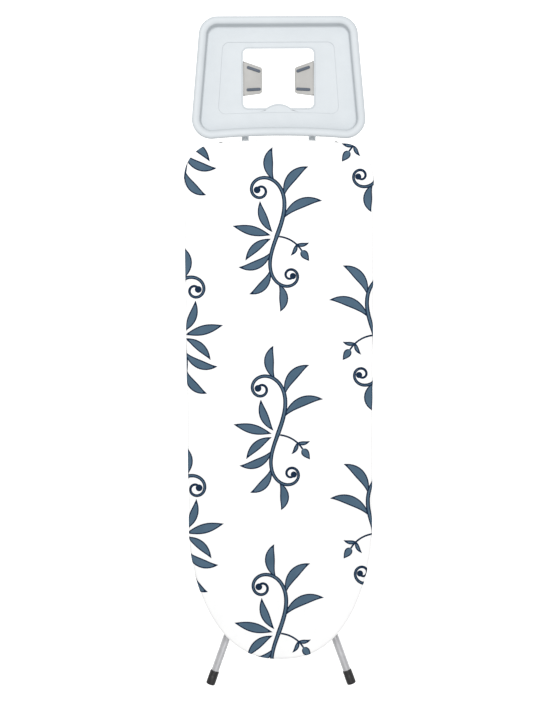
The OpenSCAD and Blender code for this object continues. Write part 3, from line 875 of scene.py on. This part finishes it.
TRAY_LOW, TRAY_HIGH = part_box("iron_tray")
TRAY_FAR = TRAY_HIGH.y
TRAY_LENGTH = 290 * MM
TRAY_NEAR = TRAY_FAR - TRAY_LENGTH
TRAY_NEAR_W = 2 * TRAY_HIGH.x
TRAY_FAR_W = TRAY_NEAR_W - 34 * MM
BEAD_Z = TRAY_HIGH.z
FLOOR_Z = BEAD_Z - 21.5 * MM
UNDER_Z = FLOOR_Z - 2.5 * MM
WINDOW_W = 168 * MM
WINDOW_L = 141 * MM
WINDOW_Y = (TRAY_NEAR + TRAY_FAR) / 2 + 1 * MM
ARM_X = middle("rest_arm_right").x
ARM_Z = middle("rest_arm_right").z
TRAY_FAR_R = 45 * MM
TRAY_NEAR_R = 47 * MM
TRAY_ARCH = 7 * MM
STEP_FAR_W = 267 * MM
STEP_NEAR_W = 286 * MM
STEP_FAR = TRAY_FAR - 58 * MM
STEP_NEAR = TRAY_NEAR + 61 * MM
STEP_R = 17 * MM
STEP_ARCH = 3 * MM
WINDOW_R = 12 * MM
LUG_HALF = 29 * MM
LUG_RISE = 10 * MM
BOSS_LENGTH = 61


def tub_ring(far_w, near_w, far_y, near_y, far_r, near_r, arch, inset, z, lug=0.0):
    """Rounded trapezoid with an arched near edge, as one ring at a height."""
    half = []
    flat = near_w / 2 - near_r
    for k in range(25):
        t = k / 25
        x = t * flat
        rise = lug * max(0.0, 1 - (x / LUG_HALF) ** 2)
        half.append((x, near_y + inset + arch * (1 - t * t) + rise))
    for k in range(17):
        q = math.radians(-90 + 90 * k / 16)
        half.append((flat + (near_r - inset) * math.cos(q), near_y + near_r + (near_r - inset) * math.sin(q)))
    top_x = far_w / 2 - far_r
    start = half[-1]
    end = (top_x + far_r - inset, far_y - far_r)
    for k in range(1, 12):
        t = k / 12
        half.append((start[0] + (end[0] - start[0]) * t, start[1] + (end[1] - start[1]) * t))
    for k in range(17):
        q = math.radians(90 * k / 16)
        half.append((top_x + (far_r - inset) * math.cos(q), far_y - far_r + (far_r - inset) * math.sin(q)))
    for k in range(1, 17):
        half.append(((1 - k / 16) * top_x, far_y - inset))
    return [(x, y, z) for x, y in half] + [(-x, y, z) for x, y in reversed(half[1:-1])]


def tray_ring(inset, z):
    return tub_ring(
        TRAY_FAR_W, TRAY_NEAR_W, TRAY_FAR, TRAY_NEAR, TRAY_FAR_R, TRAY_NEAR_R, TRAY_ARCH, inset * MM, z
    )


def step_ring(inset, z):
    return tub_ring(
        STEP_FAR_W, STEP_NEAR_W, STEP_FAR, STEP_NEAR, STEP_R, STEP_R, STEP_ARCH, inset * MM, z
    )


def window_ring(outset, z):
    return tub_ring(
        WINDOW_W, WINDOW_W, WINDOW_Y + WINDOW_L / 2, WINDOW_Y - WINDOW_L / 2,
        WINDOW_R, WINDOW_R, 0, -outset * MM, z, LUG_RISE,
    )


def make_tray():
    """Tray wall, bead, floor and window as one closed loft, with its bosses and ribs; pairs are mm."""
    bead = BEAD_Z
    floor = FLOOR_Z
    rings = [tray_ring(i, bead - d * MM) for i, d in (
        (0.9, 12.0), (0.3, 11.4), (0.0, 9.0), (0.0, 6.0), (0.4, 3.4), (1.6, 1.5), (3.6, 0.4), (6.5, 0.0),
        (11.0, 0.2), (15.0, 0.9), (17.4, 1.9), (18.6, 3.4), (19.1, 6.0),
    )]
    rings += [tray_ring(i, floor + d * MM) for i, d in (
        (19.8, 9.0), (20.6, 3.2), (21.1, 1.4), (22.2, 0.4), (24.0, 0.0),
    )]
    rings += [step_ring(i, floor - d * MM) for i, d in (
        (-0.9, 0.0), (-0.2, 0.1), (0.25, 0.6), (0.6, 1.3), (1.6, 1.5),
    )]
    rings += [window_ring(o, floor - d * MM) for o, d in (
        (5.0, 1.5), (3.6, 1.4), (2.8, 0.4), (1.8, 0.1), (0.8, 0.25),
        (0.1, 0.9), (0.1, 2.2), (0.7, 2.5), (4.0, 2.5),
    )]
    rings += [step_ring(-2.0, UNDER_Z)]
    rings += [tray_ring(i, z) for i, z in (
        (29.0, UNDER_Z), (24.5, UNDER_Z + 0.2 * MM), (22.2, UNDER_Z + 1.6 * MM), (20.2, UNDER_Z + 5 * MM),
    )]
    rings += [tray_ring(i, bead - d * MM) for i, d in (
        (17.0, 11.0), (15.4, 6.6), (13.8, 3.8), (10.4, 2.3), (6.8, 2.3),
        (4.0, 3.4), (2.6, 5.6), (2.5, 11.5), (1.8, 12.0),
    )]
    parts = [loft(rings, closed=True)]
    front = TRAY_LOW.y
    boss_end = front + BOSS_LENGTH * MM
    for side in (-1, 1):
        origin = (side * ARM_X, front, ARM_Z)
        boss = [
            (6.05, 0), (6.6, 0), (8.0, 0), (8.5, 0.6), (8.5, 60.2),
            (8.0, BOSS_LENGTH), (6.6, BOSS_LENGTH), (6.05, 60.6), (6.05, 57),
        ]
        rings_boss = lathe([(r * MM, d * MM) for r, d in boss], origin, (0, 1, 0), 48)
        parts.append(loft(rings_boss, closed=True))
        for x in (-3, 3):
            parts.append(box_part(
                (side * ARM_X + (x - 1) * MM, TRAY_NEAR + 25 * MM, ARM_Z + 7 * MM),
                (side * ARM_X + (x + 1) * MM, boss_end, UNDER_Z + 0.2 * MM),
            ))
    for x in (-150, -112, 112, 150):
        parts.append(box_part(
            ((x - 1) * MM, TRAY_NEAR + 40 * MM, UNDER_Z - 4 * MM),
            ((x + 1) * MM, TRAY_FAR - 42 * MM, UNDER_Z + 0.2 * MM),
        ))
    verts, faces = joined(parts)
    tray = mesh_object("iron_tray_moulding", verts, faces, LOOKS["tray_plastic"])
    sharpen(tray, 48)
    return tray


def box_part(low, high):
    x0, y0, z0 = low
    x1, y1, z1 = high
    ring = [(x0, y0), (x1, y0), (x1, y1), (x0, y1)]
    return loft([[(x, y, z0) for x, y in ring], [(x, y, z1) for x, y in ring]])


def ring_inset(points, inset):
    """Moves a closed convex line inwards."""
    p = np.array(points)
    d = np.roll(p, -1, axis=0) - np.roll(p, 1, axis=0)
    n = np.column_stack([-d[:, 1], d[:, 0]])
    n /= np.hypot(*n.T)[:, None]
    return p + n * inset


def raised(outline, profile, z):
    """Moulded slab over a convex outline, from (inset, height) pairs in millimetres."""
    rings = []
    for inset, height in profile:
        ring = ring_inset(outline, inset * MM)
        rings.append([(x, y, z + height * MM) for x, y in ring])
    return loft(rings)


def rounded_corners(corners, radii, steps=8):
    """Closed line round a convex polygon, each corner rounded; corners run anticlockwise."""
    out = []
    n = len(corners)
    for k in range(n):
        a, b, c = (np.array(corners[(k + j) % n], float) for j in (-1, 0, 1))
        u = (a - b) / np.hypot(*(a - b))
        v = (c - b) / np.hypot(*(c - b))
        half = math.acos(float(np.clip(u @ v, -1, 1))) / 2
        cut = radii[k] / math.tan(half)
        centre = b + (u + v) / np.hypot(*(u + v)) * radii[k] / math.sin(half)
        p, q = b + u * cut - centre, b + v * cut - centre
        start = math.atan2(p[1], p[0])
        turn = (math.atan2(q[1], q[0]) - start + math.pi) % (2 * math.pi) - math.pi
        for j in range(steps + 1):
            t = start + turn * j / steps
            out.append(centre + radii[k] * np.array([math.cos(t), math.sin(t)]))
    return np.array(out)


def make_tab(side):
    name = "rest_tab_right" if side > 0 else "rest_tab_left"
    low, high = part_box(name)
    edge = WINDOW_W / 2
    inner = edge - (high.x - low.x)
    corners = [
        (inner, low.y + 6 * MM), (edge, low.y), (edge, high.y), (inner, high.y - 16 * MM),
    ]
    line = rounded_corners(corners, [8 * MM, 1 * MM, 1 * MM, 8 * MM])
    height = (high.z - low.z) / MM
    profile = [
        (0.6, 0), (0, 0.5), (0, height - 0.9), (0.35, height - 0.3), (1.0, height), (2.6, height),
        (3.1, height - 0.3), (3.4, height - 0.7), (5.0, height - 0.75),
    ]
    verts, faces = raised(line, profile, low.z)
    verts = [(side * x, y, z) for x, y, z in verts]
    tab = mesh_object(name + "_moulding", verts, faces, LOOKS["tab_rubber"])
    sharpen(tab, 50)
    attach(tab, "board")
    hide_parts(name)


def make_strips():
    """Four raised non-slip strips with round ends, on the two tabs."""
    low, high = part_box("grip_strips")
    base = low.z - 0.8 * MM
    half_l = 17 * MM
    half_w = 3.4 * MM
    x = 59 * MM
    parts = []
    for y, degrees in ((WINDOW_Y + 21 * MM, 19), (WINDOW_Y - 27 * MM, -3)):
        for side in (-1, 1):
            outline = []
            for k in range(24):
                a = 2 * math.pi * (k + 0.5) / 24
                shift = (half_l - half_w) * (1 if math.cos(a) > 0 else -1)
                outline.append((shift + half_w * math.cos(a), half_w * math.sin(a)))
            turn = math.radians(degrees)
            placed = [
                (x + u * math.cos(turn) - v * math.sin(turn), y + u * math.sin(turn) + v * math.cos(turn))
                for u, v in outline
            ]
            verts, faces = raised(np.array(placed), [(0, 0), (0, 1.6), (0.4, 2.1), (1.0, 2.35)], base)
            parts.append(([(side * u, v, w) for u, v, w in verts], faces))
    verts, faces = joined(parts)
    strips = mesh_object("grip_strips_rubber", verts, faces, LOOKS["strip_rubber"])
    sharpen(strips, 60)
    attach(strips, "board")
    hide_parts("grip_strips")


tray = make_tray()
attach(tray, "board")
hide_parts("iron_tray")
for side in (-1, 1):
    make_tab(side)
make_strips()


# ------------------------------------------------------------------------ legs

TUBE_R = 9 * MM
BEND_R = 60 * MM
HINGE = Vector(JOINT["leg_fold"]["pos_m"])
PIVOT = Vector(JOINT["scissor_pivot"]["pos_m"])
SLIDE = Vector(JOINT["slide_level"]["pos_m"])
TUBE_Z = PIVOT.z
CAP_R = (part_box("outer_foot_right")[1].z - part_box("outer_foot_right")[0].z) / 2
CAP_FLOOR = 6.2 * MM
OUTER_SPLAY = 19.7
INNER_SPLAY = 24.5
STUB = 8 * MM


def leg_line(side, x, foot, splay, heading):
    """Centre line of a leg from its hinge end to its foot; heading is -1 towards the nose."""
    top_y = HINGE.y + STUB if heading < 0 else SLIDE.y - STUB
    bend_y = foot.y - heading * (foot.x - x) / math.tan(splay)
    trim = BEND_R * math.tan(splay / 2)
    points = [Vector((x, top_y + (bend_y - heading * trim - top_y) * k / 6, TUBE_Z)) for k in range(6)]
    centre = Vector((x + BEND_R, bend_y - heading * trim, TUBE_Z))
    start = Vector((x, bend_y - heading * trim, TUBE_Z))
    points += arc_points(centre, start, "Z", -heading * splay, 12)
    along = Vector((math.sin(splay), heading * math.cos(splay), 0))
    last = points[-1]
    end = foot - along * CAP_FLOOR
    points += [last + (end - last) * k / 3 for k in (1, 2, 3)]
    return [Vector((side * p.x, p.y, p.z)) for p in points]


def tube_part(points, radius, wall=1.2 * MM):
    """Open tube with a wall, along points."""
    outer = sweep(points, radius)
    inner = sweep(points, radius - wall)
    return loft(outer + inner[::-1], closed=True)


def foot_axis(name, splay, heading):
    """Where a right-hand foot's axis ends, from its box."""
    low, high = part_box(name)
    edge = CAP_R - 2 * MM
    y = low.y + edge * math.sin(splay) if heading < 0 else high.y - edge * math.sin(splay)
    x = high.x - CAP_R * math.cos(splay) + 2.4 * MM * math.sin(splay)
    return Vector((x, y, TUBE_Z))


def make_cap(side, foot, splay, heading, node, body):
    """Ribbed push-on cap, round-edged at the floor end."""
    back = Vector((-side * math.sin(splay), -heading * math.cos(splay), 0))
    origin = Vector((side * foot.x, foot.y, foot.z))
    r = CAP_R / MM
    profile = [(0.01, 0), (r - 3.2, 0), (r - 2.0, 0.15), (r - 0.9, 0.9), (r - 0.25, 2.4), (r, 5)]
    for groove in (24, 27, 30):
        profile += [(r - 0.15, groove - 0.8), (r - 0.7, groove), (r - 0.15, groove + 0.8)]
    profile += [(r - 0.25, 32.5), (r - 0.8, 34.4), (r - 1.4, 35), (9.02, 35), (9.02, 6), (0.01, 6)]
    rings = lathe([(a * MM, d * MM) for a, d in profile], origin, back)
    verts, faces = loft(rings)
    cap = mesh_object(node + "_cap", verts, faces, LOOKS["black_plastic"])
    sharpen(cap, 40)
    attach(cap, body)
    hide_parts(node)


def make_leg(side, kind, splay_degrees, heading):
    """One bent leg tube and its cap; kind is outer or inner, side is -1 on the left."""
    word = "right" if side > 0 else "left"
    body = kind + "_legs"
    tube_node = f"{kind}_tube_{word}"
    splay = math.radians(splay_degrees)
    x = abs(middle(f"{kind}_ear_{word}").x)
    foot = foot_axis(kind + "_foot_right", splay, heading)
    line = leg_line(side, x, foot, splay, heading)
    tube = mesh_object(tube_node + "_bent", *tube_part(line, TUBE_R), LOOKS["leg_paint"])
    sharpen(tube, 50)
    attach(tube, body)
    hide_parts(tube_node)
    make_cap(side, foot, splay, heading, f"{kind}_foot_{word}", body)


for side in (-1, 1):
    make_leg(side, "outer", OUTER_SPLAY, -1)
    make_leg(side, "inner", INNER_SPLAY, 1)


# ---------------------------------------------------------------- lever, spring

BAR_R = 4 * MM
HANDLE_R = 20 * MM
DROOP = math.radians(8)


def make_lever_bar():
    low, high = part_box("lever_bar")
    handle_x = high.x - BAR_R
    start_x = low.x + 0.6 * MM
    points = [Vector((start_x + (handle_x - HANDLE_R - start_x) * k / 8, 0, 0)) for k in range(8)]
    corner = Vector((handle_x - HANDLE_R, HANDLE_R, 0))
    points += arc_points(corner, Vector((handle_x - HANDLE_R, 0, 0)), "Z", math.pi / 2, 14)
    points += [Vector((handle_x, HANDLE_R + d * MM, 0)) for d in (20, 45, 70)]
    droop = Matrix.Rotation(-DROOP, 3, "X")
    placed = [SLIDE + (droop @ p if p.x >= handle_x - HANDLE_R else p) for p in points]
    parts = [loft(sweep(placed, BAR_R, 28))]
    head = [(0.01, 0), (4.6, 0), (5.6, 0.5), (6.0, 1.2), (5.6, 2.1), (4.6, 2.5), (0.01, 2.5)]
    rings = lathe([(r * MM, d * MM) for r, d in head], (low.x, SLIDE.y, SLIDE.z), (1, 0, 0), 40)
    parts.append(loft(rings))
    bar = mesh_object("lever_bar_rod", *joined(parts), LOOKS["zinc_steel"])
    sharpen(bar, 50)
    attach(bar, "height_lever")
    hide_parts("lever_bar")


def make_grip():
    """Hand grip with shallow finger rings."""
    bar_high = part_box("lever_bar")[1]
    along = Vector((0, math.cos(DROOP), -math.sin(DROOP)))
    origin = Vector((bar_high.x - BAR_R, SLIDE.y, SLIDE.z)) + along * (HANDLE_R + 6 * MM)
    profile = [(4.02, 0), (5.6, 0.0), (6.6, 0.5), (7.4, 2.0)]
    for k in range(33):
        d = 5 + k * 1.8
        profile.append((8.35 - 0.45 * math.cos(2 * math.pi * (d - 5) / 11.5) - 0.9 * (k / 32) ** 4, d))
    profile += [(6.6, 68.6), (4.6, 70.8), (0.01, 71.4), (0.01, 66), (4.02, 66)]
    rings = lathe([(r * MM, d * MM) for r, d in profile], origin, along, 48)
    grip = mesh_object("lever_grip_moulding", *loft(rings, closed=True), LOOKS["black_plastic"])
    sharpen(grip, 50)
    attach(grip, "height_lever")
    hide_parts("lever_grip")


def make_spring():
    """Wound torsion spring with its two straight ends."""
    low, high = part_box("lever_spring")
    wire = 0.85 * MM
    coil_r = 5.6 * MM
    arm = 22 * MM
    per_turn = 20
    turns = 7.5
    left = low.x + wire
    right = high.x - wire
    steps = int(turns * per_turn)
    points = [Vector((left, arm * (1 - k / 3), -coil_r)) for k in range(3)]
    for k in range(steps + 1):
        a = 2 * math.pi * k / per_turn
        x = left + (right - left) * k / steps
        points.append(Vector((x, -coil_r * math.sin(a), -coil_r * math.cos(a))))
    points += [Vector((right, arm * (k / 3), coil_r)) for k in (1, 2, 3)]
    placed = [p + Vector((0, SLIDE.y, SLIDE.z)) for p in points]
    spring = mesh_object("lever_spring_wire", *loft(sweep(placed, wire, 10)), LOOKS["zinc_steel"])
    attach(spring, "slide_carriage")
    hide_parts("lever_spring")


make_lever_bar()
make_grip()
make_spring()


# ------------------------------------------------------- floor, lights, camera

FLOOR_HALF = 30.0
FLOOR_GAP = 0.2 * MM
WORLD_STRENGTH = 0.55


def lowest_reach():
    """Lowest height that the feet come to with the legs swung out as far as they go."""
    low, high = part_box("outer_foot_right")
    swing = math.radians(JOINT["leg_fold"]["range_deg"][1])
    heights = []
    for y in (low.y, high.y):
        for z in (low.z, high.z):
            heights.append(HINGE.z + (y - HINGE.y) * math.sin(swing) + (z - HINGE.z) * math.cos(swing))
    return min(heights)


def make_floor():
    """One plain floor for every pose: the open board stands on it, the folded one is held above it."""
    h = FLOOR_HALF
    z = lowest_reach() - FLOOR_GAP
    corners = [(-h, -h, z), (h, -h, z), (h, h, z), (-h, h, z)]
    floor = mesh_object("floor", corners, [(0, 1, 2, 3)], floor_paint("floor_white"), smooth=False)


def area_light(name, place, target, size, power):
    light = bpy.data.lights.new(name, "AREA")
    light.shape = "SQUARE"
    light.size = size
    light.energy = power
    obj = bpy.data.objects.new(name, light)
    obj.location = place
    obj.rotation_euler = (Vector(target) - Vector(place)).to_track_quat("-Z", "Y").to_euler()
    bpy.context.scene.collection.objects.link(obj)


def make_light():
    world = bpy.data.worlds.new("studio")
    world.use_nodes = True
    world.node_tree.nodes["Background"].inputs["Color"].default_value = (1, 1, 1, 1)
    world.node_tree.nodes["Background"].inputs["Strength"].default_value = WORLD_STRENGTH
    bpy.context.scene.world = world
    area_light("key", (-0.3, 1.3, 3.3), (0, 0.1, 0), size=1.5, power=76)
    area_light("fill", (0.9, -1.6, 3.0), (0, 0, 0), size=2.6, power=25)
    bpy.context.scene.view_settings.view_transform = "Standard"


CAMERA_HEIGHT = 3.3
VIEW_LENGTH = 1.705
SENSOR = 36.0
AIM_X = -23 * MM
AIM_Y = -17 * MM
ROLL_DEGREES = -0.25


def make_camera():
    camera = bpy.data.cameras.new("camera")
    camera.sensor_width = SENSOR
    camera.lens = SENSOR * CAMERA_HEIGHT / VIEW_LENGTH
    obj = bpy.data.objects.new("camera", camera)
    obj.location = (AIM_X, AIM_Y, TOP_Z + CAMERA_HEIGHT)
    obj.rotation_euler = (0, 0, math.radians(ROLL_DEGREES))
    bpy.context.scene.collection.objects.link(obj)
    bpy.context.scene.camera = obj


make_camera()
make_floor()
make_light()
